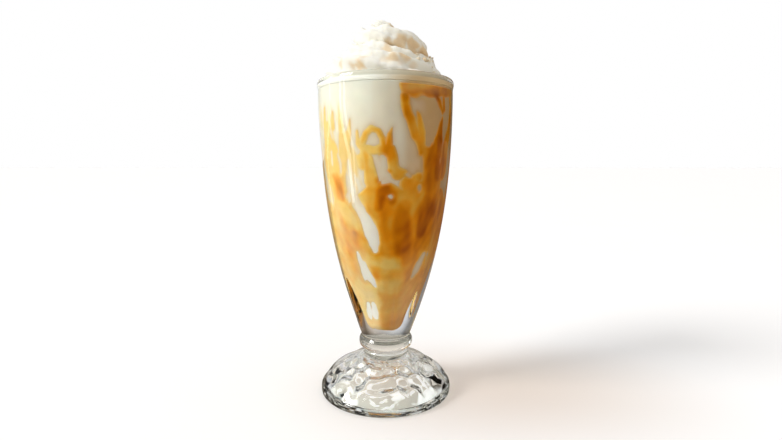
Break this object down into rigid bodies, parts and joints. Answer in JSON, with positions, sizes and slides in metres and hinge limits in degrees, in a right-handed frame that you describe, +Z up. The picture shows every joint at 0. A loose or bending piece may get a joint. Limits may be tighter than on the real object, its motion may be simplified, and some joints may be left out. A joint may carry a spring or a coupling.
{
  "type": "milkshake in a footed soda glass",
  "caption": "Peanut butter milkshake in a tall footed soda glass, streaked with sauce inside the wall and topped with a piped swirl of whipped cream.",
  "frame": {"origin": "middle of the foot, on the surface that the glass stands on", "axes": "+Z up along the glass's axis, -Y towards the side that the picture shows"},
  "size_m": [0.0854, 0.0854, 0.2371],
  "materials": {
    "glass": "clear pressed glass, polished",
    "milkshake": "creamy off-white, moist",
    "sauce": "golden brown peanut butter sauce, glossy",
    "cream": "soft white whipped cream"
  },
  "bodies": {
    "root": {"glass": "glass", "milkshake": "milkshake", "peanut_butter_sauce": "sauce", "whipped_cream": "cream"}
  },
  "joints": []
}
